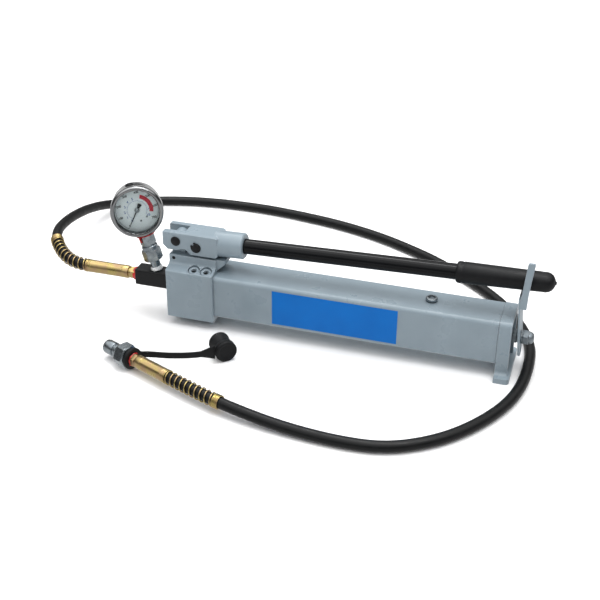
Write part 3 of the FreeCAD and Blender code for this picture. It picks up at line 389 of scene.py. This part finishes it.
def piece(name, body, parts, place=STAND, replaces=(), sharp=32):
    """A piece made of (shape, material) parts, which rides on a body and takes a slot's finish."""
    mesh = bpy.data.meshes.new(name)
    points, faces, looks = [], [], []
    for (part_points, part_faces), look in parts:
        start = len(points)
        points += [place @ Vector(p) for p in part_points]
        faces += [tuple(start + i for i in face) for face in part_faces]
        if LOOKS[look] not in mesh.materials[:]:
            mesh.materials.append(LOOKS[look])
        looks += [mesh.materials[:].index(LOOKS[look])] * len(part_faces)
    mesh.from_pydata(points, [], faces)
    mesh.polygons.foreach_set("material_index", looks)
    draft = bmesh.new()
    draft.from_mesh(mesh)
    bmesh.ops.remove_doubles(draft, verts=draft.verts, dist=1e-7)
    bmesh.ops.recalc_face_normals(draft, faces=draft.faces)
    draft.to_mesh(mesh)
    draft.free()
    mesh.shade_smooth()
    mesh.set_sharp_from_angle(angle=math.radians(sharp))
    made = bpy.data.objects.new(name, mesh)
    bpy.context.scene.collection.objects.link(made)
    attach(made, body)
    if replaces:
        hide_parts(*replaces)
    return made


def dress(look, *names):
    """Gives carried-over CAD nodes their finish."""
    for name in names:
        NODES[name].data.materials.clear()
        NODES[name].data.materials.append(LOOKS[look])


# ---------------------------------------------------------------- hose and what is on it

def make_hose():
    data = bpy.data.curves.new("hose_tube", "CURVE")
    data.dimensions = "3D"
    data.resolution_u = 16
    data.bevel_depth = HOSE_RADIUS
    data.bevel_resolution = 8
    data.use_fill_caps = True
    spline = data.splines.new("NURBS")
    spline.points.add(len(HOSE_ROUTE) - 1)
    for point, place in zip(spline.points, HOSE_ROUTE):
        point.co = (*place, 1)
    spline.order_u = 3
    spline.use_endpoint_u = True
    hose = bpy.data.objects.new("hose_tube", data)
    bpy.context.scene.collection.objects.link(hose)
    data.materials.append(LOOKS["hose"])
    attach(hose, "pump")
    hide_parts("hose")
    return hose


def evaluated(made):
    """The points and faces of what an object makes."""
    graph = bpy.context.evaluated_depsgraph_get()
    mesh = bpy.data.meshes.new_from_object(made.evaluated_get(graph))
    shape = [v.co.copy() for v in mesh.vertices], [tuple(p.vertices) for p in mesh.polygons]
    bpy.data.meshes.remove(mesh)
    return shape


def line_of(curve):
    """The points of a curve's own line, in the row frame."""
    bare = bpy.data.objects.new("bare_line", curve.data.copy())
    bpy.context.scene.collection.objects.link(bare)
    bare.data.bevel_depth = 0
    bpy.context.view_layer.update()
    points, _ = evaluated(bare)
    bpy.data.objects.remove(bare)
    return points


def along_line(points, distance):
    """The place and the way of a line at a distance from its first point."""
    for here, there in zip(points, points[1:]):
        step = (there - here).length
        if distance <= step:
            break
        distance -= step
    way = (there - here).normalized()
    return here + way * distance, way


def guard_coil(points, length, coil, wire, open_turns, first_turns, last_turns):
    """A spring round a line, with closed turns at both ends."""
    first = first_turns * 2 * wire
    pitch = (length - first - last_turns * 2 * wire) / open_turns
    turns = open_turns + first_turns + last_turns
    steps = int(turns * 28)
    path, ups = [], []
    _, way = along_line(points, 0)
    side = way.orthogonal().normalized()
    for i in range(steps + 1):
        turned = turns * i / steps
        if turned < first_turns:
            distance = turned * 2 * wire
        elif turned > turns - last_turns:
            distance = length - (turns - turned) * 2 * wire
        else:
            distance = first + (turned - first_turns) * pitch
        centre, way = along_line(points, distance)
        side = (side - way * side.dot(way)).normalized()
        out = Matrix.Rotation(2 * math.pi * turned, 3, way) @ side
        path.append(centre + out * coil)
        ups.append(out)
    return swept(path, disc(wire, 8), ups)


def ferrule(length):
    """A crimped ferrule: faint jaw flats along its middle and turned rings near its ends."""
    jaws, steps = 8, 96
    profile = [(7.2, 0.6), (8.0, 0.0), (8.45, 0.4), (8.6, 1.2), (8.6, 3.0), (8.35, 3.3),
               (8.35, 3.8), (8.6, 4.2), (8.6, 6.0), (8.6, length - 13.0), (8.6, length - 10.2),
               (8.3, length - 9.8), (8.3, length - 9.2), (8.6, length - 8.8), (8.6, length - 1.6),
               (8.2, length - 0.5), (7.0, length)]

    def crimp(angle, index):
        if index not in (8, 9):
            return 0
        within = (angle * jaws / (2 * math.pi)) % 1 - 0.5
        flat = math.cos(math.pi / jaws) / math.cos(2 * math.pi * within / jaws) - 1
        return 8.6 * flat * 0.3

    return lathe(profile, steps, wobble=crimp)


def sealant(low, high, radius, seed):
    """A squeezed-out bead of thread sealant."""
    def ragged(angle, index):
        spot = Vector((math.cos(angle) * 2, math.sin(angle) * 2, seed + index))
        return noise.noise(spot) * 1.1
    middle = (low + high) / 2
    profile = [(5.5, low), (radius - 0.4, low), (radius, middle), (radius - 0.4, high), (5.5, high)]
    return lathe(profile, 48, looped=True, wobble=ragged)


def make_hose_ends(hose):
    """Guards, ferrules, fittings and the coupler half. Returns what lies on the hose."""
    line = line_of(hose)
    coil, wire = 0.0081, 0.00085
    guards = [
        piece("port_guard_spring", "pump",
              [(guard_coil(line, GUARD_LENGTH, coil, wire, 9.5, 2, 5), "yellow_zinc")],
              place=Matrix.Identity(4), replaces=["port_guard"], sharp=80),
        piece("end_guard_spring", "pump",
              [(guard_coil(line[::-1], GUARD_LENGTH, coil, wire, 9.5, 2, 5), "yellow_zinc")],
              place=Matrix.Identity(4), replaces=["end_guard"], sharp=80),
    ]
    port_ferrule = piece("port_ferrule_crimped", "pump",
                         [(placed(move(0, 0, 71.8) @ turn(180, "X"), ferrule(60)), "yellow_zinc")],
                         place=PORT, replaces=["port_ferrule"])
    port_nut = piece("port_fitting_nut", "pump", [
        (hexagonal(15, 1.2, 9, hole=3.2), "yellow_zinc"),
        (lathe([(6.4, -10), (6.4, 1.2), (3.2, 1.2), (3.2, -10)], looped=True), "zinc"),
        (lathe([(6.4, 9), (6.4, 11.9), (3.2, 11.9), (3.2, 9)], looped=True), "yellow_zinc"),
        (sealant(-0.4, 4.4, 8.6, 3.0), "sealant"),
    ], place=PORT, replaces=["port_fitting"])
    end_ferrule = piece("end_ferrule_crimped", "pump",
                        [(ferrule(50), "yellow_zinc")], place=END, replaces=["end_ferrule"])
    end_nut = piece("end_fitting_nut", "pump", [
        (hexagonal(15, 50, 56.6, hole=3.2), "yellow_zinc"),
        (lathe([(6.7, 56.6), (6.7, 68.8), (3.2, 68.8), (3.2, 56.6)], looped=True), "zinc"),
        (sealant(56.2, 57.8, 8.4, 11.0), "sealant"),
        (sealant(62.9, 64.0, 8.2, 17.0), "sealant"),
    ], place=END, replaces=["end_fitting"])
    coupler = piece("coupler_half", "pump", [(coupler_shape(), "zinc")],
                    place=END, replaces=["coupler_body"])
    poppet = piece("coupler_valve_poppet", "poppet", [
        (lathe([(0, 88), (3.2, 88), (3.6, 88.5), (3.6, 99.5), (6.2, 100.3), (6.2, 101.7),
                (4.8, 104.1), (3.2, 104.4), (2.8, 103.7), (0, 103.7)]), "steel")],
        place=END, replaces=["coupler_poppet"])
    cap, strap = make_dust_cap()
    return guards + [port_ferrule, port_nut, end_ferrule, end_nut, coupler, poppet, cap, strap]


def coupler_shape():
    """The coupler's hexagon, its shoulder and its grooved nose round an open channel."""
    steps = 72
    flats, low, high = 27, 64, 80
    inscribed = flats / 2 - 0.9

    def reach(angle):
        return flats / 2 / math.cos((angle - math.radians(30)) % (math.pi / 3) - math.pi / 6)

    rings = [around(steps, lambda a: polar(11.4, a, low)),
             around(steps, lambda a: polar(inscribed, a, low + 0.3))]
    for end, inward in ((low, 1), (high, -1)):
        rings.append(around(steps, lambda a: polar(
            reach(a), a, end + inward * (0.4 + (reach(a) - inscribed) * 0.75))))
    profile = [(inscribed, high - 0.3), (11.6, high + 0.2), (10.6, 81.7), (10.2, 83.5), (9.0, 84.4),
               (9.0, 87.3), (8.8, 88.0), (7.6, 88.2), (7.6, 90.3), (8.8, 90.5), (9.0, 91.1),
               (9.0, 104.1), (8.5, 105.4), (7.6, 106.0), (6.9, 106.0), (6.4, 105.5), (6.4, 97.0),
               (4.0, 97.0), (4.0, 75.0), (6.85, 75.0), (6.85, low)]
    rings += [around(steps, lambda a, r=r, z=z: polar(r, a, z)) for r, z in profile]
    return skin(rings, looped=True)


CAP_AT = Vector((107.1, -63.6, 14))
CAP_WAY = Vector((-0.666, 0.746, 0)).normalized()
CAP = STAND @ Matrix.Translation(CAP_AT) @ Vector((0, 0, 1)).rotation_difference(
    CAP_WAY).to_matrix().to_4x4()


def make_dust_cap():
    """The moulded rubber cap and the strap that ties it to the coupler's neck."""
    shell = [(0, 1.3), (7.5, 1.3), (9.4, 0.9), (10.6, 0.2), (12.0, 0.0), (13.3, 0.3), (13.9, 1.1),
             (14.0, 2.2), (13.7, 3.4), (12.9, 4.0), (12.8, 4.6), (12.6, 24.2), (13.1, 25.2),
             (13.5, 26.4), (13.4, 28.0), (12.7, 29.0), (10.2, 29.0), (9.5, 28.2), (9.3, 26.8),
             (9.3, 6.4), (8.9, 6.0), (0, 6.0)]
    cap = piece("dust_cap_moulded", "pump", [(lathe(shell, 80), "rubber")],
                place=CAP, replaces=["dust_cap"])
    loop_frame = STAND.inverted() @ END
    loop = placed(loop_frame, lathe(
        [(7.2, 58.7), (8.0, 58.1), (12.9, 58.1), (13.8, 59.0), (13.8, 62.0), (12.9, 62.9),
         (8.0, 62.9), (7.2, 62.3)], looped=True))
    keeper = placed(STAND.inverted() @ CAP, lathe(
        [(12.9, 4.2), (13.4, 4.2), (13.9, 4.9), (13.9, 8.3), (13.4, 9.1), (12.9, 9.1)],
        looped=True))
    start = loop_frame @ Vector((0, 0, 60.5)) + Vector((0.39, 0.92, 0)) * 12.6
    stops = [start, Vector((20, -97, 14)), Vector((44, -92, 14)), Vector((70, -82.3, 14)),
             CAP_AT + CAP_WAY * 6.6 + Vector((-CAP_WAY.y, CAP_WAY.x, 0)) * 13.4]
    path = smooth_line(stops, 12)
    count = len(path)
    spread = [max(1, 1 + 0.8 * (i / count - 0.82) / 0.18) ** 1.6 for i in range(count)]
    strip = swept(path, rounded_bar(2.8, 8.4, 1.2), [Vector((0, 0, 1))] * count, spread)
    strap = piece("dust_cap_strap", "pump",
                  [(loop, "rubber"), (keeper, "rubber"), (strip, "rubber")], replaces=["cap_strap"])
    return cap, strap


def smooth_line(stops, steps):
    """A smooth line through a few stops."""
    ends = [stops[0] * 2 - stops[1], *stops, stops[-1] * 2 - stops[-2]]
    line = []
    for a, b, c, d in zip(ends, ends[1:], ends[2:], ends[3:]):
        for i in range(steps):
            t = i / steps
            line.append(0.5 * (2 * b + (c - a) * t + (2 * a - 5 * b + 4 * c - d) * t ** 2
                               + (3 * b - a - 3 * c + d) * t ** 3))
    return line + [stops[-1]]


# ---------------------------------------------------------------- gauge

SCALE_START, SCALE_SWEEP = 140, -270      # degrees from the dial's up, anticlockwise


def scale_angle(share):
    return SCALE_START + SCALE_SWEEP * share


def radial(degrees):
    """The dial's frame turned so that Y points out at an angle from up, anticlockwise."""
    return turn(degrees, "Z")


def lettering(text, height):
    """A number as a flat shape about its middle."""
    data = bpy.data.curves.new("number", "FONT")
    data.body = text
    data.size = height
    data.offset = 0.03 * height
    data.align_x, data.align_y = "CENTER", "CENTER"
    made = bpy.data.objects.new("number", data)
    bpy.context.scene.collection.objects.link(made)
    bpy.context.view_layer.update()
    shape = evaluated(made)
    bpy.data.objects.remove(made)
    return shape


def flat_bar(width, low, high, z):
    """A flat mark from one distance to another along Y."""
    half = width / 2
    return [(-half, low, z), (half, low, z), (half, high, z), (-half, high, z)], [(0, 1, 2, 3)]


def flat_arc(inner, outer, start, end, z, steps=48):
    """A flat band between two radii and two angles from up, anticlockwise."""
    points, faces = [], []
    for i in range(steps + 1):
        angle = math.radians(90 + start + (end - start) * i / steps)
        points += [polar(inner, angle, z), polar(outer, angle, z)]
    faces = [(2 * i, 2 * i + 1, 2 * i + 3, 2 * i + 2) for i in range(steps)]
    return points, faces


def make_dial():
    ink, ring = 8.45, 12.4                # the prints' height, and the inner scale's radius
    parts = [(lathe([(1.4, 7.6), (28.6, 7.6), (28.8, 8.0), (28.8, 8.4), (1.4, 8.4)], 96,
                    looped=True), "dial")]
    parts.append((flat_arc(27.2, 27.5, SCALE_START, SCALE_START + SCALE_SWEEP, ink), "black_ink"))
    for i in range(71):
        long = i % 10 == 0
        mark = flat_bar(0.6 if long else 0.3, 25.8 if long else 26.4, 27.4, ink)
        parts.append((placed(radial(scale_angle(i / 70)), mark), "black_ink"))
    for i in range(8):
        at = radial(scale_angle(i / 7)) @ move(0, 23.6, ink) @ radial(-scale_angle(i / 7))
        parts.append((placed(at, lettering(str(100 * i), 4.1)), "black_ink"))
    parts.append((flat_arc(ring - 0.1, ring + 0.1, SCALE_START, SCALE_START + SCALE_SWEEP, ink),
                  "blue_ink"))
    for i in range(51):
        mark = flat_bar(0.3, ring, 13.8 if i % 5 == 0 else 13.2, ink)
        parts.append((placed(radial(scale_angle(i / 50)), mark), "blue_ink"))
    for i in range(11):
        at = radial(scale_angle(i / 10)) @ move(0, 15.8, ink) @ radial(-scale_angle(i / 10))
        if i not in (6, 7, 8):            # the red band runs where these would be
            parts.append((placed(at, lettering(str(i), 4.5)), "blue_ink"))
    parts.append((flat_arc(15.8, 21.0, -27, -112, ink), "red_ink"))
    for angle in (-141, -177):
        head = lathe([(0, 9.0), (0.9, 9.0), (1.3, 8.7), (1.3, 8.4), (0, 8.4)], 24)
        parts.append((placed(radial(angle) @ move(0, 15, 0), head), "steel"))
    piece("gauge_dial_face", "pump", parts, place=DIAL, replaces=["gauge_dial"])


def make_pointer():
    blade = extruded([(-0.8, 2), (0.8, 2), (0.35, 22.0), (0, 22.5), (-0.35, 22.0)], 9.7, 10.2)
    tail = extruded([(-0.8, -2), (-2.8, -8.6), (-2.2, -9.4), (2.2, -9.4), (2.8, -8.6), (0.8, -2)],
                    9.7, 10.2)
    hub = lathe([(0, 11.4), (1.5, 11.4), (2.0, 11.0), (3.0, 10.8), (3.2, 10.4), (3.2, 9.4),
                 (1.2, 9.2), (1.2, 0.9), (0, 0.9)], 48)
    at = turn(SCALE_START, "Z")
    piece("gauge_pointer_hand", "pointer",
          [(placed(at, blade), "black_ink"), (placed(at, tail), "black_ink"),
           (placed(at, hub), "steel")], place=DIAL, replaces=["gauge_pointer"])


def make_gauge():
    bezel = [(28.2, 16.4), (28.4, 17.6), (29.2, 18.7), (30.6, 19.2), (32.0, 19.0), (33.2, 18.1),
             (33.9, 16.6), (34.0, 14.8), (34.0, 9.2), (33.6, 8.5), (32.7, 8.4), (31.8, 8.8),
             (31.7, 16.2)]
    piece("gauge_bezel_rolled", "pump",
          [(lathe(bezel, 128, looped=True), "stainless")], place=DIAL, replaces=["gauge_bezel"])
    case = [(0, -17.0), (27.6, -17.0), (29.8, -16.2), (31.1, -14.6), (31.5, -12.4), (31.5, 8.2),
            (31.5, 13), (29.9, 13), (29.9, -15.2), (0, -15.2)]
    piece("gauge_case_drawn", "pump", [(lathe(case, 128), "stainless")],
          place=DIAL, replaces=["gauge_case"])
    lens = [(0, 15.9), (14, 15.7), (24, 15.2), (31, 14.6), (31.1, 14.1), (0, 14.1)]
    piece("gauge_window", "pump", [(lathe(lens, 96), "glass")],
          place=DIAL, replaces=["gauge_lens"], sharp=60)
    liner = [(28.2, 14.0), (31.4, 14.0), (31.4, 9.0), (28.9, 9.0), (28.9, 12.9)]
    piece("gauge_liner", "pump", [(lathe(liner, 96, looped=True), "stainless")],
          place=DIAL)
    plug = [(0, 34.4), (3.6, 34.4), (4.6, 33.9), (5.3, 32.9), (5.6, 31.8), (4.3, 31.7),
            (4.1, 28.6), (0, 28.6)]
    piece("gauge_filling_plug", "pump",
          [(placed(turn(-90, "X"), lathe(plug, 40)), "rubber")],
          place=DIAL, replaces=["gauge_fill_plug"])
    make_dial()
    make_pointer()
    make_gauge_stem()
    dress("brass", "gauge_movement", "bourdon_tube")


def make_gauge_stem():
    thread = lathe([(3.2, 9), (6.5, 9), (6.5, 25.4), (9.2, 25.8), (9.2, 26.3), (3.2, 26.3)],
                   looped=True)
    collar = lathe([(3.2, 41.6), (9.8, 41.6), (10.4, 42.2), (10.4, 46.2), (9.8, 46.9), (3.2, 46.9)],
                   looped=True)

    def frayed(angle, index):
        return 0.35 * noise.noise(Vector((3 * math.cos(angle), 3 * math.sin(angle), index)))

    tape = lathe([(6.2, 11.4), (7.7, 11.7), (8.0, 13.4), (7.7, 15.6), (7.0, 16.6), (6.2, 16.7)], 48,
                 looped=True, wobble=frayed)
    piece("gauge_adapter_nut", "pump", [
        (hexagonal(22, 26, 42, hole=3.2), "zinc"), (thread, "zinc"), (collar, "zinc"),
        (tape, "tape")], place=GAUGE, replaces=["gauge_adapter"])
    smear = placed(move(-8.4, -4.2, 58.2) @ Matrix.Diagonal((1.5, 3.4, 5.2, 1)), lathe(
        [(0, -1), (0.6, -0.8), (1, 0), (0.7, 0.7), (0, 1)], 24,
        wobble=lambda a, i: 0.25 * noise.noise(Vector((2 * math.cos(a), 2 * math.sin(a), i)))))
    neck = lathe([(2, 47), (8.4, 47), (8.4, 48.7), (2, 48.7)], looped=True)
    root = lathe([(2, 64.4), (7, 64.4), (7, 69.0), (2, 69.0)], looped=True)
    piece("gauge_stem_hexagon", "pump",
          [(hexagonal(18, 48.5, 64.7, hole=2), "zinc"), (neck, "zinc"), (root, "zinc"),
           (smear, "sealant"), (squeezed_ring(), "sealant")],
          place=GAUGE, replaces=["gauge_stem"])


def squeezed_ring():
    """Sealant squeezed out in a thin brim between the stem's hexagon and the case."""
    def ragged(angle, index):
        spot = Vector((2.2 * math.cos(angle), 2.2 * math.sin(angle), 5 + 0.2 * index))
        return (1.6 if index in (1, 2, 3) else 0.2) * noise.noise(spot)

    return lathe([(6.6, 62.6), (12.2, 62.2), (13.4, 63.1), (12.4, 64.2), (6.6, 64.6)], 60,
                 looped=True, wobble=ragged)


# ---------------------------------------------------------------- lever and its pins

def make_grip():
    start, end = 302.4, 420.4
    profile = [(9.82, 0), (11.2, 0), (12.3, 0.5), (13.1, 1.8), (13.4, 3.6), (13.4, 6), (12.9, 6.8),
               (12.9, 7.8), (13.35, 8.6), (12.9, 50), (12.35, 92), (12.2, 100)]
    profile += [(12.2 * math.cos(t), 106 + 10.8 * math.sin(t))
                for t in (0.0, 0.35, 0.7, 1.0, 1.25)]
    profile = [(radius, start + z) for radius, z in profile]
    profile += [(2.4, end - 1.3), (2.0, end - 0.5), (1.2, end), (0, end), (0, end - 22),
                (9.82, end - 22)]
    piece("handle_grip_sleeve", "handle", [(lathe(profile, 80), "grip")],
          place=LEVER, replaces=["handle_grip"], sharp=50)


def snap_ring(radius, thickness, gap):
    """An open retaining ring with an ear at each end of its gap, which lies at an angle."""
    inner, outer = radius, radius + 1.7
    start, sweep, steps = gap + 18, 324, 40
    outline = []
    for reach, order in ((outer, range(steps + 1)), (inner, range(steps, -1, -1))):
        for i in order:
            angle = math.radians(start + sweep * i / steps)
            ear = 0.9 if reach == outer and i in (0, 1, 2, steps - 2, steps - 1, steps) else 0
            outline.append((reach + ear) * Vector((math.cos(angle), math.sin(angle))))
    return extruded([(p.x, p.y) for p in outline], 0, thickness)


def make_pins():
    """Link and fulcrum pins with turned ends, and the rings that hold them."""
    rings = []
    for name, x, z in (("fulcrum_pin", 10.3, 115.5), ("piston_pin", 38, 110)):
        at = move(x, 32, z) @ turn(-90, "X")
        profile = [(0, -19), (3.9, -19), (4.9, -18.4), (5.0, -18.2), (5.0, 18.2), (4.9, 18.4),
                   (3.9, 19), (0, 19)]
        piece(f"{name}_turned", "handle",
              [(placed(at, lathe(profile, 48)), "oxide")], replaces=[name])
        for low in (-18.2, 17.1):
            plain = lathe([(4.9, 0), (6.1, 0), (6.4, 0.3), (6.4, 0.8), (6.1, 1.1), (4.9, 1.1)],
                          looped=True)
            shape = plain if name == "fulcrum_pin" else snap_ring(4.9, 1.1, 225)
            rings.append((placed(at @ move(0, 0, low), shape), "oxide"))
    piece("pin_snap_rings", "handle", rings, replaces=["retaining_rings"])


# ---------------------------------------------------------------- tail end and fillers

def make_nut():
    """The domed nut on the tie rod and its washer."""
    dome = [(7.9, 7.0), (7.8, 8.1), (7.3, 10.0), (6.4, 11.5), (5.0, 12.7), (3.0, 13.3), (0, 13.5)]
    nut = hexagonal(17, 0, 7)
    piece("tie_rod_dome_nut", "pump",
          [(nut, "dull_zinc"), (lathe([(7.9, 6.9), *dome]), "dull_zinc")],
          place=ROD @ move(0, 0, 1.5), replaces=["tie_rod_nut"])
    washer = [(5.2, 0), (8.3, 0), (8.6, 0.3), (8.6, 1.0), (8.3, 1.3), (5.2, 1.3)]
    piece("tie_rod_flat_washer", "pump", [(lathe(washer, looped=True), "dull_zinc")],
          place=ROD @ move(0, 0, 0.1), replaces=["tie_rod_washer"])
    jam = [(5.02, -7.4), (7.5, -7.4), (7.8, -7.0), (7.8, -3.6), (5.02, -3.6)]
    piece("clip_jam_nut", "pump",
          [(hexagonal(17, -20.1, -5.6, hole=5.02), "dull_zinc"),
           (lathe(jam, looped=True), "dull_zinc")], place=ROD, replaces=["jam_nut"])


def make_filler():
    """The vented filler plug: a knurled rim round a socket, over its seal."""
    top, at = 77.2, move(341, 32, 0)

    def knurl(angle, index):
        return 0.22 * math.cos(30 * angle) if 2 <= index <= 3 else 0

    rim = [(5.0, 67.2), (5.0, 78.6), (7.2, 78.7), (7.2, 81.2), (6.4, 82.2), (4.9, 82.3),
           (4.6, 80.2), (0, 80.2), (0, 67.2)]
    shape = lathe(rim, 120, wobble=knurl)
    piece("filler_plug_knurled", "filler",
          [(placed(at, shape), "zinc")], replaces=["filler_plug"])
    seal = [(5.2, top + 0.05), (6.8, top + 0.05), (7.1, top + 0.7), (6.8, top + 1.4),
            (5.2, top + 1.4)]
    piece("filler_seal_ring", "pump",
          [(placed(at, lathe(seal, looped=True)), "rubber")], replaces=["filler_seal"])


def make_valve_plugs():
    """The two round plugs on the front ledge, each with a hexagon socket whose floor is painted
    black as shade.
    """
    slope = math.degrees(math.atan2(5, 16))
    parts = []
    for x in (36.5, 53):
        at = move(x, 8.2, 79 + 8.2 * 5 / 16) @ turn(slope, "X")
        rings = [around(48, lambda a, r=r, z=z: polar(r, a, z)) for r, z in (
            (4.3, -12.9), (4.5, -12.5), (4.5, -4.5), (6.5, -4.4), (6.9, -4.0), (6.9, -1.5),
            (6.3, -0.8), (4.4, -0.8), (4.0, -1.2))]
        rings += [around(48, lambda a, z=z: polar(
            3.25 / math.cos(a % (math.pi / 3) - math.pi / 6), a, z)) for z in (-1.5, -4.3)]
        parts.append((placed(at, skin(rings)), "paint"))
        # A black disc at the socket's floor: painted shade for the depth of the socket, which gets
        # little light.
        socket_floor_painted_shade = lathe([(0, -4.0), (3.1, -4.0), (3.1, -4.2), (0, -4.2)], 24)
        parts.append((placed(at, socket_floor_painted_shade), "oxide"))
    piece("valve_plug_screws", "pump", parts, replaces=["valve_plugs"], sharp=40)


def dress_cad_nodes():
    dress("paint", "pump_head", "reservoir_tube", "end_cap", "handle_fork", "handle_clip",
          "head_gasket", "cap_gasket")
    dress("gloss_black", "handle_tube")
    dress("oxide", "gauge_block", "neck_grub_screw", "pad_screws", "block_nipple")
    dress("rubber", "rest_pad", "piston_seal")
    dress("steel", "piston", "valve_springs", "valve_balls", "tie_rod", "suction_tube",
          "release_spindle", "release_gland")
    dress("brass", "suction_filter")
    dress("grip", "release_knob")
    dress("label", "reservoir_label")


LOOKS = make_materials()
make_camera()
make_light()
make_floor()
hose = make_hose()
on_hose = make_hose_ends(hose)
make_gauge()
make_grip()
make_pins()
make_nut()
make_filler()
make_valve_plugs()
dress_cad_nodes()
